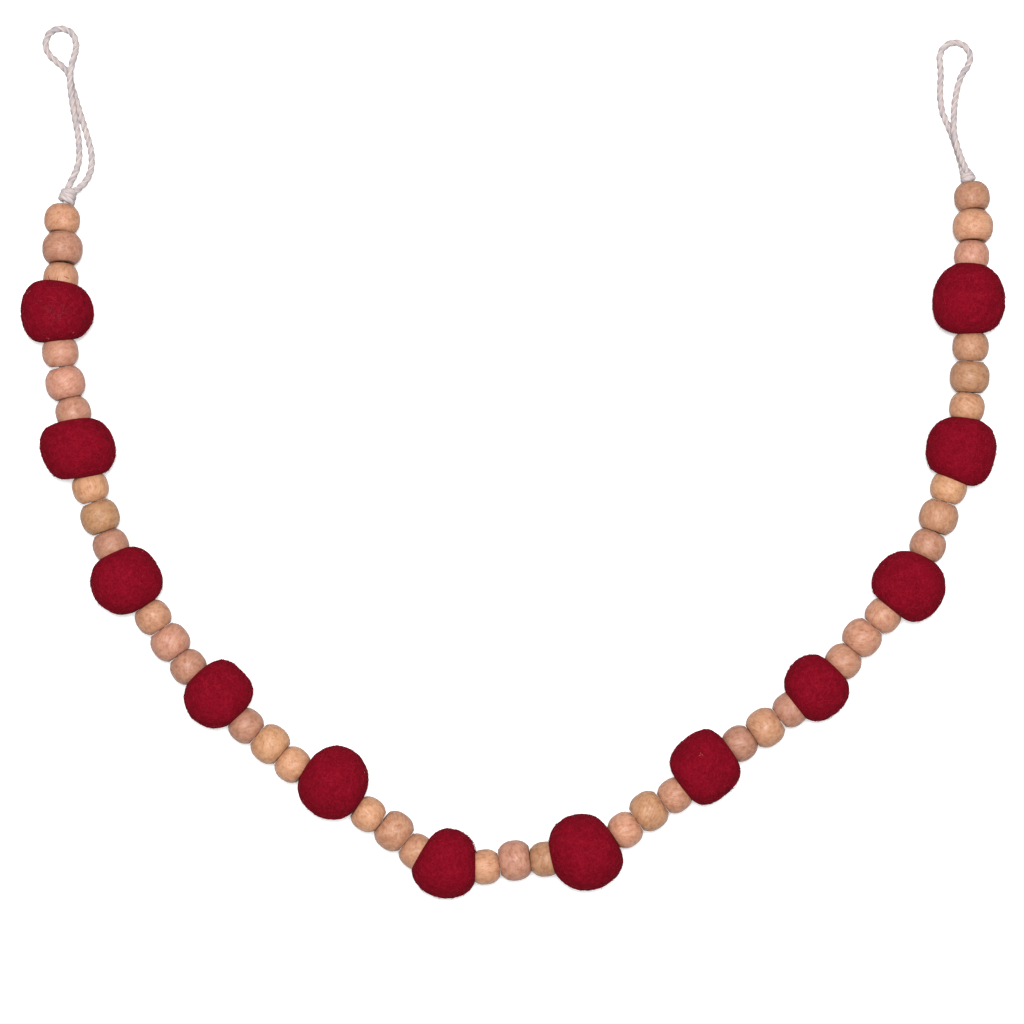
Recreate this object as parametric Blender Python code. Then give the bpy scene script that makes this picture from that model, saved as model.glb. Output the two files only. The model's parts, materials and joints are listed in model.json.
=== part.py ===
# Felt ball garland: felted wool balls and turned wood beads on a twisted cotton cord.
# It lies in a U on a flat surface. +Z is up, +Y runs from the bottom of the U to its two ends.
# Lengths in the tables are millimetres and are turned into metres where they are used.

import math
from collections import namedtuple

import bpy
from mathutils import Vector

MM = 0.001

# Cord: three plies of cotton, twisted
CORD_RADIUS = 1.3
PLY_RIDGE_RADIUS = 1.48
PLY_GROOVE_RADIUS = 1.12
PLY_COUNT = 3
PLY_LAY = 10.5

# How the pieces meet along the cord
PIECE_GAP = 0.4
CORD_HOLE_RADIUS = 2.2
BALL_HOLE_RADIUS = 2.4

# Heights above the surface that the garland lies on
BALL_HEIGHT_SHARE = 0.93
BEAD_SAG = 2.0
END_GROUP_HEIGHT = 10.8
END_HEIGHT = 5.8

# Felt around a bead that is pressed into a ball
FELT_CLEARANCE = 0.75
FELT_SQUASH = 0.98
LIP_WIDTH = 0.1

# Steps of the faceted surfaces
ROUTE_STEPS = 24
STRING_STEP = 5.0
STRING_SIDES = 6
BEAD_SIDES = 10
BALL_SIDES = 14
BALL_RINGS = 8
LAY_STEPS = 9
KNOT_SIDES = 12
KNOT_RINGS = 11
SHARP_ANGLE = 50
SEARCH_REACH = 40.0
SEARCH_STEPS = 30

# A bead's half profile: place along its half length, and radius as a share of its belly
BeadKind = namedtuple("BeadKind", "diameter length")
SIDE_BEAD = BeadKind(diameter=15.2, length=11.6)
MIDDLE_BEAD = BeadKind(diameter=16.9, length=12.8)
BEAD_FACE_SHARE = 0.62
BEAD_SHOULDER_SHARE = 0.92
BEAD_SHOULDER_PLACE = 0.58
BEAD_VARIATION = 0.02
BEAD_VARIATION_STEP = 2.4

# Middle bead of each group of three, from the left end to the right end, and how far the first
# and last bead lie outside the smooth line
Group = namedtuple("Group", "x y first_out last_out")
GROUPS = [
    Group(-192.8, 122.5, 1.3, -0.5),
    Group(-191.3, 64.8, 0.3, -0.7),
    Group(-176.5, 7.7, 0.3, 0.0),
    Group(-146.5, -45.9, -0.4, 0.0),
    Group(-103.7, -89.4, 0.2, 0.8),
    Group(-50.8, -126.6, -0.2, 0.2),
    Group(0.9, -139.1, 0.4, 0.0),
    Group(58.2, -118.0, 0.5, 0.9),
    Group(108.1, -82.4, -0.9, -0.1),
    Group(149.4, -43.9, 0.4, 0.1),
    Group(182.1, 7.7, 0.2, -0.3),
    Group(195.4, 67.5, 0.1, -0.2),
    Group(197.0, 131.9, -0.5, 0.4),
]

# Each ball: where the cord crosses it, how far its middle lies outside the cord, and the
# radii of its uneven outline. "ahead" is towards the right end, "out" is outside the U.
Ball = namedtuple("Ball", "x y offset ahead ahead_out out back_out back back_in inner ahead_in")
BALLS = [
    Ball(-194.0, 94.9, 0.5, 11.7, 15.7, 15.6, 15.7, 12.5, 15.0, 15.9, 14.9),
    Ball(-184.1, 36.7, 1.9, 10.8, 14.6, 15.2, 16.7, 11.6, 16.0, 16.2, 15.9),
    Ball(-164.6, -19.0, 0.6, 13.9, 15.1, 15.9, 15.2, 13.0, 15.2, 15.1, 15.8),
    Ball(-127.5, -69.5, -2.6, 13.5, 14.7, 15.9, 14.7, 12.6, 14.8, 14.0, 15.0),
    Ball(-78.4, -108.8, -3.8, 14.3, 15.6, 15.6, 15.5, 13.9, 15.7, 15.8, 15.1),
    Ball(-29.4, -142.5, -2.1, 14.3, 15.8, 14.5, 13.9, 10.4, 14.6, 15.6, 16.4),
    Ball(30.5, -135.7, -0.2, 14.1, 16.0, 16.3, 16.3, 14.8, 17.4, 16.8, 15.4),
    Ball(82.9, -100.1, -1.1, 12.4, 15.5, 14.1, 15.9, 12.9, 15.4, 14.8, 16.0),
    Ball(130.1, -65.5, -0.5, 11.0, 13.7, 13.7, 14.2, 12.8, 14.0, 14.2, 14.3),
    Ball(168.6, -21.2, 0.4, 14.0, 15.3, 15.4, 15.7, 11.7, 15.5, 15.8, 15.4),
    Ball(190.8, 35.8, 0.0, 14.9, 15.9, 15.1, 16.2, 12.3, 14.4, 14.6, 15.8),
    Ball(195.8, 100.7, -1.2, 16.0, 15.8, 15.4, 17.0, 15.1, 16.9, 15.4, 16.0),
]

# Ends of the strung length, just inside the knots
End = namedtuple("End", "x y")
LEFT_END = End(-191.4, 147.0)
RIGHT_END = End(196.0, 157.0)

# Knots: where each ends towards its loop, its radius at the bead and at the loop
Knot = namedtuple("Knot", "x y z base_radius top_radius wraps")
LEFT_KNOT = Knot(-190.9, 147.8, 5.8, 4.1, 3.6, 2)
RIGHT_KNOT = Knot(194.6, 156.2, 5.9, 3.9, 2.7, 2)
KNOT_RIDGE = 0.22
KNOT_STRAIGHT = 0.5

# Hanging loops lying on the surface, from the knot up one strand, round and down the other
Bend = namedtuple("Bend", "x y z")
LEFT_LOOP = [
    Bend(-190.9, 150.2, 6.3), Bend(-189.2, 154.2, 4.9), Bend(-187.8, 158.6, 3.2),
    Bend(-187.2, 163.5, 2.0), Bend(-187.4, 168.5, 1.7), Bend(-188.0, 174.3, 2.2),
    Bend(-188.9, 180.4, 3.5), Bend(-189.7, 186.0, 4.5), Bend(-190.3, 191.4, 5.1),
    Bend(-190.6, 197.7, 5.1), Bend(-189.9, 203.2, 4.4), Bend(-188.9, 207.6, 3.0),
    Bend(-188.6, 212.1, 1.9), Bend(-190.5, 216.7, 1.55), Bend(-195.2, 218.7, 1.55),
    Bend(-199.9, 216.8, 1.55), Bend(-201.8, 212.2, 1.55), Bend(-200.4, 207.7, 1.55),
    Bend(-197.0, 204.3, 1.55), Bend(-193.6, 201.4, 1.55), Bend(-191.4, 197.9, 1.55),
    Bend(-190.3, 193.4, 1.55), Bend(-188.2, 186.4, 1.55), Bend(-186.0, 179.2, 1.55),
    Bend(-183.9, 172.4, 1.55), Bend(-182.3, 166.2, 1.6), Bend(-181.8, 161.2, 2.1),
    Bend(-182.3, 156.4, 3.2), Bend(-184.0, 152.3, 4.6), Bend(-186.7, 149.2, 5.8),
]
RIGHT_LOOP = [
    Bend(193.6, 157.6, 4.7), Bend(193.2, 160.6, 3.2), Bend(192.3, 164.4, 2.0),
    Bend(191.0, 168.8, 1.6), Bend(189.3, 173.6, 1.55), Bend(187.4, 178.1, 1.55),
    Bend(185.7, 182.3, 1.55), Bend(184.8, 187.0, 1.55), Bend(184.6, 192.4, 1.55),
    Bend(184.9, 197.8, 1.55), Bend(184.7, 202.0, 1.55), Bend(184.4, 206.0, 1.55),
    Bend(185.7, 209.9, 1.55), Bend(189.0, 212.3, 1.55), Bend(193.0, 212.3, 1.55),
    Bend(196.3, 209.9, 1.55), Bend(197.6, 206.0, 1.55), Bend(196.3, 202.1, 1.55),
    Bend(193.9, 198.4, 1.55), Bend(192.0, 192.6, 1.55), Bend(190.9, 186.5, 1.6),
    Bend(190.4, 181.2, 2.8), Bend(190.0, 176.5, 4.2), Bend(190.2, 172.0, 4.8),
    Bend(191.2, 167.8, 5.1), Bend(192.3, 164.0, 5.5), Bend(193.2, 160.9, 6.6),
    Bend(194.2, 157.8, 8.0),
]

# Finishes: base colour, roughness
Finish = namedtuple("Finish", "name color roughness")
FELT_FINISH = Finish("crimson_felt", (0.29, 0.006, 0.020, 1.0), 0.95)
WOOD_FINISH = Finish("natural_wood", (0.62, 0.37, 0.21, 1.0), 0.55)
CORD_FINISH = Finish("cotton_cord", (0.66, 0.60, 0.60, 1.0), 0.9)


def clear_scene():
    for scene_object in list(bpy.data.objects):
        bpy.data.objects.remove(scene_object, do_unlink=True)


def make_material(finish):
    material = bpy.data.materials.new(finish.name)
    material.use_nodes = True
    shader = material.node_tree.nodes["Principled BSDF"]
    shader.inputs["Base Color"].default_value = finish.color
    shader.inputs["Roughness"].default_value = finish.roughness
    shader.inputs["Metallic"].default_value = 0.0
    material.diffuse_color = finish.color
    return material


def add_solid(name, rings, finish, closed_ring=False):
    """One object from rings of points in millimetres, each ring joined to the next."""
    sides = len(rings[0])
    vertices = [point * MM for ring in rings for point in ring]
    faces = []
    spans = len(rings) if closed_ring else len(rings) - 1
    for i in range(spans):
        low = i * sides
        high = ((i + 1) % len(rings)) * sides
        for j in range(sides):
            k = (j + 1) % sides
            faces.append((low + j, high + j, high + k, low + k))
    if not closed_ring:
        faces.append(tuple(range(sides)))
        faces.append(tuple(reversed(range(len(vertices) - sides, len(vertices)))))
    mesh = bpy.data.meshes.new(name)
    mesh.from_pydata(vertices, [], faces)
    mesh.materials.append(make_material(finish._replace(name=f"{finish.name}_{name}")))
    mesh.validate()
    mesh.shade_smooth()
    mesh.set_sharp_from_angle(angle=math.radians(SHARP_ANGLE))
    solid = bpy.data.objects.new(name, mesh)
    bpy.context.scene.collection.objects.link(solid)
    return solid


class Route:
    """A smooth curve through points, read by the distance along it."""

    def __init__(self, points):
        self.points = []
        last = len(points) - 1
        for i in range(last):
            start, end = points[i], points[i + 1]
            before = points[i - 1] if i else start * 2 - end
            after = points[i + 2] if i + 2 <= last else end * 2 - start
            for step in range(ROUTE_STEPS):
                self.points.append(self.blend(before, start, end, after, step / ROUTE_STEPS))
        self.points.append(points[last])
        self.marks = [0.0]
        for a, b in zip(self.points, self.points[1:]):
            self.marks.append(self.marks[-1] + (b - a).length)
        self.length = self.marks[-1]

    @staticmethod
    def blend(before, start, end, after, t):
        """Catmull-Rom curve between start and end."""
        return 0.5 * (2 * start + (end - before) * t
                      + (2 * before - 5 * start + 4 * end - after) * t ** 2
                      + (3 * start - before - 3 * end + after) * t ** 3)

    def mark_of(self, row):
        """Distance along the curve of the row-th point that it was drawn through."""
        return self.marks[row * ROUTE_STEPS]

    def at(self, distance):
        low = 0
        high = len(self.marks) - 1
        while high - low > 1:
            middle = (low + high) // 2
            if self.marks[middle] <= distance:
                low = middle
            else:
                high = middle
        share = (distance - self.marks[low]) / (self.marks[high] - self.marks[low])
        return self.points[low].lerp(self.points[high], share)

    def tangent(self, distance, reach=1.0):
        start = max(distance - reach, 0.0)
        end = min(distance + reach, self.length)
        return (self.at(end) - self.at(start)).normalized()

    def frame(self, distance):
        """Place, forward, outward and upward directions."""
        forward = self.tangent(distance)
        outward = forward.cross(Vector((0, 0, 1))).normalized()
        upward = outward.cross(forward).normalized()
        return self.at(distance), forward, outward, upward


def ring_points(centre, outward, upward, radii, start_angle=0.0):
    sides = len(radii)
    ring = []
    for j, radius in enumerate(radii):
        angle = start_angle + 2 * math.pi * j / sides
        ring.append(centre + outward * (radius * math.cos(angle)) + upward * (radius * math.sin(angle)))
    return ring


def ball_height(ball):
    return BALL_HEIGHT_SHARE * (ball.out + ball.inner) / 2


def smooth_line():
    """A smooth curve through the middle of every group and ball, sagging between the balls."""
    heights = [ball_height(ball) for ball in BALLS]
    points = [Vector((LEFT_END.x, LEFT_END.y, END_HEIGHT))]
    for i, group in enumerate(GROUPS):
        if 0 < i < len(BALLS):
            height = (heights[i - 1] + heights[i]) / 2 - BEAD_SAG
        else:
            height = END_GROUP_HEIGHT
        points.append(Vector((group.x, group.y, height)))
        if i < len(BALLS):
            points.append(Vector((BALLS[i].x, BALLS[i].y, heights[i])))
    points.append(Vector((RIGHT_END.x, RIGHT_END.y, END_HEIGHT)))
    return Route(points)


def string_route():
    """The cord's middle line: the smooth line, pulled aside at the side beads."""
    smooth = smooth_line()
    pitch = (SIDE_BEAD.length + MIDDLE_BEAD.length) / 2 + PIECE_GAP
    points = [smooth.at(0.0)]
    for i, group in enumerate(GROUPS):
        middle = smooth.mark_of(1 + 2 * i)
        for distance, shift in ((middle - pitch, group.first_out), (middle, 0.0),
                                (middle + pitch, group.last_out)):
            centre, _, outward, _ = smooth.frame(distance)
            points.append(centre + outward * shift)
        if i < len(BALLS):
            points.append(smooth.at(smooth.mark_of(2 + 2 * i)))
    points.append(smooth.at(smooth.length))
    return Route(points)


def facing_gap(route, place_a, place_b, face_radius):
    """Gap along the cord that keeps two faces apart where the cord bends between them."""
    bend = route.tangent(place_a).angle(route.tangent(place_b))
    return PIECE_GAP + face_radius * bend


def side_bead_place(route, middle, sign):
    """Where a side bead sits beside its middle bead."""
    reach = (SIDE_BEAD.length + MIDDLE_BEAD.length) / 2
    face_radius = MIDDLE_BEAD.diameter / 2 * BEAD_FACE_SHARE * (1 + BEAD_VARIATION)
    return middle + sign * (reach + facing_gap(route, middle, middle + sign * reach, face_radius))


def bead_profile(kind):
    """Places and radii of a bead's outer profile, from one flat face to the other."""
    half = kind.length / 2
    belly = kind.diameter / 2
    face = (half, belly * BEAD_FACE_SHARE)
    shoulder = (half * BEAD_SHOULDER_PLACE, belly * BEAD_SHOULDER_SHARE)
    return [(-face[0], face[1]), (-shoulder[0], shoulder[1]), (0.0, belly), shoulder, face]


def make_bead(name, route, place, kind, number):
    size = 1 + BEAD_VARIATION * math.sin(BEAD_VARIATION_STEP * number)
    centre, forward, outward, upward = route.frame(place)
    outline = bead_profile(kind)
    hole = [(outline[-1][0], CORD_HOLE_RADIUS), (outline[0][0], CORD_HOLE_RADIUS)]
    rings = []
    for along, radius in outline:
        radii = [radius * size] * BEAD_SIDES
        rings.append(ring_points(centre + forward * along, outward, upward, radii))
    for along, radius in hole:
        rings.append(ring_points(centre + forward * along, outward, upward, [radius] * BEAD_SIDES))
    return add_solid(name, rings, WOOD_FINISH, closed_ring=True)


def bead_end(route, place, sign):
    """Where the next piece may begin beyond a side bead's face."""
    end = place + sign * SIDE_BEAD.length / 2
    face_radius = SIDE_BEAD.diameter / 2 * BEAD_FACE_SHARE + FELT_CLEARANCE
    return end + sign * facing_gap(route, place, end, face_radius)


def ball_radius(ball, from_ahead, around):
    """Radius of a ball's uneven surface. from_ahead is 0 towards the right end and pi towards
    the left end; around is 0 outside the U, pi inside it."""
    out_side = [ball.ahead, ball.ahead_out, ball.out, ball.back_out, ball.back]
    in_side = [ball.ahead, ball.ahead_in, ball.inner, ball.back_in, ball.back]
    place = from_ahead / (math.pi / 4)
    index = min(int(place), 3)
    ease = place - index
    ease = ease * ease * (3 - 2 * ease)
    out_radius = out_side[index] + (out_side[index + 1] - out_side[index]) * ease
    in_radius = in_side[index] + (in_side[index + 1] - in_side[index]) * ease
    share = (1 + math.cos(around)) / 2
    squash = 1 - (1 - FELT_SQUASH) * math.sin(around) ** 2 * math.sin(from_ahead)
    return (out_radius * share + in_radius * (1 - share)) * squash


class BallSurface:
    """A ball's surface in the frame of the cord: along it, outward and upward."""

    def __init__(self, ball):
        self.ball = ball

    def inside(self, along, outward, upward):
        outward -= self.ball.offset
        distance = math.sqrt(along ** 2 + outward ** 2 + upward ** 2)
        from_ahead = math.acos(max(-1.0, min(1.0, along / distance))) if distance else 0.0
        around = math.atan2(upward, outward)
        return distance < ball_radius(self.ball, from_ahead, around)

    def reach(self, start, direction):
        """Distance from a point inside the ball to its surface."""
        low = 0.0
        high = SEARCH_REACH
        for _ in range(SEARCH_STEPS):
            middle = (low + high) / 2
            if self.inside(*(s + d * middle for s, d in zip(start, direction))):
                low = middle
            else:
                high = middle
        return low


def recess_depth(radius, kind):
    """How far back the bead's shoulder lies from its flat face at a radius, with clearance."""
    belly = kind.diameter / 2
    face_radius = belly * BEAD_FACE_SHARE + FELT_CLEARANCE
    shoulder_radius = belly * BEAD_SHOULDER_SHARE + FELT_CLEARANCE
    if radius <= face_radius:
        return 0.0
    shoulder_back = kind.length / 2 * (1 - BEAD_SHOULDER_PLACE)
    if radius < shoulder_radius + LIP_WIDTH:
        return shoulder_back * (radius - face_radius) / (shoulder_radius - face_radius)
    return kind.length


def ball_ring_places(ball, ahead_face, back_face):
    """Rings of (along, radius) for each angle round the cord, from the hole at the back, over
    the outside, to the hole ahead. The recesses take the beads' ends."""
    surface = BallSurface(ball)
    belly = SIDE_BEAD.diameter / 2
    recess_radii = [
        BALL_HOLE_RADIUS,
        belly * BEAD_FACE_SHARE + FELT_CLEARANCE,
        belly * BEAD_SHOULDER_SHARE + FELT_CLEARANCE,
        belly + FELT_CLEARANCE + LIP_WIDTH,
    ]
    columns = []
    for j in range(BALL_SIDES):
        angle = 2 * math.pi * j / BALL_SIDES
        out, up = math.cos(angle), math.sin(angle)
        back_places = []
        ahead_places = []
        for radius in recess_radii:
            start = (0.0, out * radius, up * radius)
            back_reach = surface.reach(start, (-1.0, 0.0, 0.0))
            ahead_reach = surface.reach(start, (1.0, 0.0, 0.0))
            depth = recess_depth(radius, SIDE_BEAD)
            back_places.append((-min(back_reach, back_face + depth), radius))
            ahead_places.append((min(ahead_reach, ahead_face + depth), radius))
        back_lip = back_places[-1][0]
        ahead_lip = ahead_places[-1][0]
        outer = []
        for k in range(1, BALL_RINGS - 1):
            share = (1 - math.cos(math.pi * k / (BALL_RINGS - 1))) / 2
            along = back_lip + (ahead_lip - back_lip) * share
            outer.append((along, surface.reach((along, 0.0, 0.0), (0.0, out, up))))
        hole_middle = (back_places[0][0] + ahead_places[0][0]) / 2
        columns.append(back_places + outer + list(reversed(ahead_places))
                       + [(hole_middle, BALL_HOLE_RADIUS)])
    return columns


def make_ball(name, route, place, ball, back_bead, ahead_bead):
    """A felt ball bent along the cord, with recesses for the beads at both ends."""
    back_face = place - bead_end(route, back_bead, 1)
    ahead_face = bead_end(route, ahead_bead, -1) - place
    columns = ball_ring_places(ball, ahead_face, back_face)
    rings = []
    for k in range(len(columns[0])):
        ring = []
        for j, column in enumerate(columns):
            along, radius = column[k]
            centre, _, outward, upward = route.frame(place + along)
            angle = 2 * math.pi * j / BALL_SIDES
            ring.append(centre + outward * (radius * math.cos(angle))
                        + upward * (radius * math.sin(angle)))
        rings.append(ring)
    rest_ball(rings)
    return add_solid(name, rings, FELT_FINISH, closed_ring=True)


def rest_ball(rings):
    """The four lowest points of the ball's middle make its flat spot on the surface."""
    low_sides = [BALL_SIDES * 3 // 4, BALL_SIDES * 3 // 4 + 1]
    outer_rings = len(rings) - 1
    middle_rings = [outer_rings // 2 - 1, outer_rings // 2]
    for ring in rings:
        for point in ring:
            point.z = max(point.z, 0.0)
    for k in middle_rings:
        for j in low_sides:
            rings[k][j].z = 0.0


def make_string(route, start, end):
    count = round((end - start) / STRING_STEP)
    rings = []
    for i in range(count + 1):
        centre, _, outward, upward = route.frame(start + (end - start) * i / count)
        rings.append(ring_points(centre, outward, upward, [CORD_RADIUS] * STRING_SIDES))
    return add_solid("stringing_cord", rings, CORD_FINISH)


def carried_frames(route, count):
    """Frames along a free cord that turn with it and don't roll."""
    frames = []
    forward = route.tangent(0.0)
    side = forward.cross(Vector((0, 0, 1))).normalized()
    for i in range(count + 1):
        distance = route.length * i / count
        turned = route.tangent(distance)
        side = (side - turned * side.dot(turned)).normalized()
        frames.append((route.at(distance), side, side.cross(turned)))
    return frames


def make_loop(name, points):
    """A loop of free cord whose plies are raised as ridges that wind along it."""
    route = Route([Vector(point) for point in points])
    count = round(route.length / PLY_LAY * LAY_STEPS)
    radii = [PLY_RIDGE_RADIUS, PLY_GROOVE_RADIUS] * PLY_COUNT
    rings = []
    for i, (centre, side, rise) in enumerate(carried_frames(route, count)):
        turn = -2 * math.pi * i / LAY_STEPS
        rings.append(ring_points(centre, side, rise, radii, start_angle=turn))
    return add_solid(name, rings, CORD_FINISH)


def make_knot(name, route, base_place, forward_sign, knot):
    """A knot wound round the cord: its wraps are ridges that climb from the bead to the loop."""
    base, tangent, _, _ = route.frame(base_place)
    away = tangent * forward_sign
    top = Vector((knot.x, knot.y, knot.z))
    reach = (top - base).length
    line = Route([base, base + away * (reach * KNOT_STRAIGHT), top])
    rings = []
    for i, (centre, side, rise) in enumerate(carried_frames(line, KNOT_RINGS - 1)):
        share = i / (KNOT_RINGS - 1)
        body = knot.base_radius + (knot.top_radius - knot.base_radius) * share
        radii = []
        for j in range(KNOT_SIDES):
            wind = share * knot.wraps + j / KNOT_SIDES
            ridge = abs(math.sin(math.pi * wind))
            radii.append(body * (1 - KNOT_RIDGE + KNOT_RIDGE * ridge))
        rings.append(ring_points(centre, side, rise, radii))
    return add_solid(name, rings, CORD_FINISH)


def build():
    clear_scene()
    route = string_route()
    side_places = []
    number = 0
    for i in range(len(GROUPS)):
        middle = route.mark_of(2 + 4 * i)
        first = side_bead_place(route, middle, -1)
        last = side_bead_place(route, middle, 1)
        parts = (("first", first, SIDE_BEAD), ("middle", middle, MIDDLE_BEAD), ("last", last, SIDE_BEAD))
        for part, place, kind in parts:
            make_bead(f"bead_{i + 1:02d}_{part}", route, place, kind, number)
            number += 1
        side_places.append((first, last))
    for i, ball in enumerate(BALLS):
        place = route.mark_of(4 + 4 * i)
        back_bead = side_places[i][1]
        ahead_bead = side_places[i + 1][0]
        make_ball(f"felt_ball_{i + 1:02d}", route, place, ball, back_bead, ahead_bead)
    left_base = bead_end(route, side_places[0][0], -1)
    right_base = bead_end(route, side_places[-1][1], 1)
    make_knot("knot_left", route, left_base, -1, LEFT_KNOT)
    make_knot("knot_right", route, right_base, 1, RIGHT_KNOT)
    make_string(route, left_base + PIECE_GAP, right_base - PIECE_GAP)
    make_loop("hanging_loop_left", LEFT_LOOP)
    make_loop("hanging_loop_right", RIGHT_LOOP)


build()
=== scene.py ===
# Felt ball garland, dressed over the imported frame.
# It lies in a U: +Z is up and +Y runs towards its two ends. Shapes are worked out in
# millimetres and turned into metres when their meshes are made.
import json
import math
import random

import bpy
import numpy as np
from mathutils import Matrix, Vector, noise
from mathutils.bvhtree import BVHTree

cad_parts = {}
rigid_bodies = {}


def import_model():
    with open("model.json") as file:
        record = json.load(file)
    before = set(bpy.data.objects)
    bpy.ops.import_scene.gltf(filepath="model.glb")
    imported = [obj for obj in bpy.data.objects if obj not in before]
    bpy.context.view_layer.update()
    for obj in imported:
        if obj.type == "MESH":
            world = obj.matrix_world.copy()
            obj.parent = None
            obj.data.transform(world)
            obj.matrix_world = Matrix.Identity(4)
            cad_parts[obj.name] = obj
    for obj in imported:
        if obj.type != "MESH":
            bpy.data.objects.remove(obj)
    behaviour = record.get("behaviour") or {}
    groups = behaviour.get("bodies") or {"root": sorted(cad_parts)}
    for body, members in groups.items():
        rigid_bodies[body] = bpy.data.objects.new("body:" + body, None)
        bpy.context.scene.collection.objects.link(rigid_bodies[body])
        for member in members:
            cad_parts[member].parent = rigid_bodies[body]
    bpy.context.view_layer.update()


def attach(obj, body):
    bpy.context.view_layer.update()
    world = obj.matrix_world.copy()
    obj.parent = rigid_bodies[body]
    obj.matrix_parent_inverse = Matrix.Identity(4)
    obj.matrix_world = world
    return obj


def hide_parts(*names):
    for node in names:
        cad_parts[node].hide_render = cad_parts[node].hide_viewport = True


mm = 0.001

print("loading the packed frame")
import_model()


# small helpers

def toLinear(red, green, blue):
    parts = []
    for value in (red / 255, green / 255, blue / 255):
        parts.append(value / 12.92 if value <= 0.04045 else ((value + 0.055) / 1.055) ** 2.4)
    return (*parts, 1.0)


def selectOnly(piece):
    bpy.ops.object.select_all(action="DESELECT")
    piece.select_set(True)
    bpy.context.view_layer.objects.active = piece


def newPiece(name, mesh):
    piece = bpy.data.objects.new(name, mesh)
    bpy.context.scene.collection.objects.link(piece)
    return piece


def setPointValues(mesh, name, kind, values):
    # kind is FLOAT, FLOAT_VECTOR or FLOAT_COLOR
    store = mesh.attributes.new(name, kind, "POINT")
    field = {"FLOAT": "value", "FLOAT_VECTOR": "vector", "FLOAT_COLOR": "color"}[kind]
    store.data.foreach_set(field, np.asarray(values, dtype=np.float32).ravel())


def dress(piece, finish, nodes=()):
    piece.data.materials.clear()
    piece.data.materials.append(finish)
    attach(piece, "root")
    if nodes:
        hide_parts(*nodes)


# the cord's middle line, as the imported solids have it

layout = {
    "pieceGap": 0.4,
    "ballHeightShare": 0.93,
    "beadSag": 2.0,
    "endGroupHeight": 10.8,
    "endHeight": 5.8,
    "feltClearance": 0.75,
    "squash": 0.98,
    "leftEnd": (-191.4, 147.0),
    "rightEnd": (196.0, 157.0),
}

# middle bead of each group, and how far its first and last beads lie outside the line
groups = [
    dict(x=-192.8, y=122.5, firstOut=1.3, lastOut=-0.5),
    dict(x=-191.3, y=64.8, firstOut=0.3, lastOut=-0.7),
    dict(x=-176.5, y=7.7, firstOut=0.3, lastOut=0.0),
    dict(x=-146.5, y=-45.9, firstOut=-0.4, lastOut=0.0),
    dict(x=-103.7, y=-89.4, firstOut=0.2, lastOut=0.8),
    dict(x=-50.8, y=-126.6, firstOut=-0.2, lastOut=0.2),
    dict(x=0.9, y=-139.1, firstOut=0.4, lastOut=0.0),
    dict(x=58.2, y=-118.0, firstOut=0.5, lastOut=0.9),
    dict(x=108.1, y=-82.4, firstOut=-0.9, lastOut=-0.1),
    dict(x=149.4, y=-43.9, firstOut=0.4, lastOut=0.1),
    dict(x=182.1, y=7.7, firstOut=0.2, lastOut=-0.3),
    dict(x=195.4, y=67.5, firstOut=0.1, lastOut=-0.2),
    dict(x=197.0, y=131.9, firstOut=-0.5, lastOut=0.4),
]

# each ball: where the cord crosses it, how far its middle lies outside the cord, and its radii
# from ahead (towards the right end) round the out side to the back, and round the in side
balls = [
    dict(x=-194.0, y=94.9, offset=0.5, outSide=(11.7, 15.4, 15.1, 15.9, 12.5),
         inSide=(11.7, 14.6, 15.5, 15.0, 12.5)),
    dict(x=-184.1, y=36.7, offset=1.9, outSide=(10.8, 14.2, 14.9, 16.2, 11.6),
         inSide=(10.8, 15.9, 16.1, 15.3, 11.6)),
    dict(x=-164.6, y=-19.0, offset=0.6, outSide=(13.9, 14.6, 15.2, 14.5, 13.0),
         inSide=(13.9, 15.8, 14.7, 15.1, 13.0)),
    dict(x=-127.5, y=-69.5, offset=-2.6, outSide=(13.5, 14.6, 15.3, 14.4, 12.6),
         inSide=(13.5, 15.0, 13.7, 14.8, 12.6)),
    dict(x=-78.4, y=-108.8, offset=-3.8, outSide=(14.3, 15.6, 15.6, 15.5, 13.9),
         inSide=(14.3, 15.1, 15.8, 15.7, 13.9)),
    dict(x=-29.4, y=-142.5, offset=-2.1, outSide=(14.3, 15.2, 14.3, 14.6, 12.4),
         inSide=(14.3, 16.2, 15.2, 16.1, 12.4)),
    dict(x=30.5, y=-135.7, offset=-0.2, outSide=(14.1, 16.6, 16.1, 14.9, 14.8),
         inSide=(14.1, 16.6, 16.8, 17.4, 14.8)),
    dict(x=82.9, y=-100.1, offset=-1.1, outSide=(12.4, 15.2, 14.3, 15.7, 12.9),
         inSide=(12.4, 16.0, 14.8, 15.4, 12.9)),
    dict(x=130.1, y=-65.5, offset=-0.5, outSide=(11.0, 13.7, 13.7, 14.2, 12.8),
         inSide=(11.0, 14.3, 14.2, 14.0, 12.8)),
    dict(x=168.6, y=-21.2, offset=0.4, outSide=(14.0, 15.0, 15.6, 15.4, 11.7),
         inSide=(14.0, 15.3, 15.3, 15.8, 11.7)),
    dict(x=190.8, y=35.8, offset=0.0, outSide=(14.9, 15.9, 15.1, 16.2, 12.3),
         inSide=(14.9, 15.5, 14.3, 14.4, 12.3)),
    dict(x=195.8, y=100.7, offset=-1.2, outSide=(16.0, 15.6, 15.2, 16.5, 15.1),
         inSide=(16.0, 15.6, 15.2, 16.7, 15.1)),
]

# turned beads: across, along the cord
sideBead = dict(across=15.2, along=11.6)
middleBead = dict(across=16.9, along=12.8)
beadTurning = {
    "closeUp": 0.34,  # how much longer than their solids the beads are, to close on each other
    "endShadeStart": 0.72,  # the painted shade that darkens the ends starts at this share of the half length
    "endShadePower": 1.5,
    "lumpHeight": 0.006,
    "lumpScale": 0.22,
    "faceShare": 0.62,
    "fullness": 2.5,
    "holeRadius": 1.75,
    "edge": 0.45,
    "sides": 48,
    "outerRows": 17,
    "variation": 0.02,
    "variationStep": 2.4,
}


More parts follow.
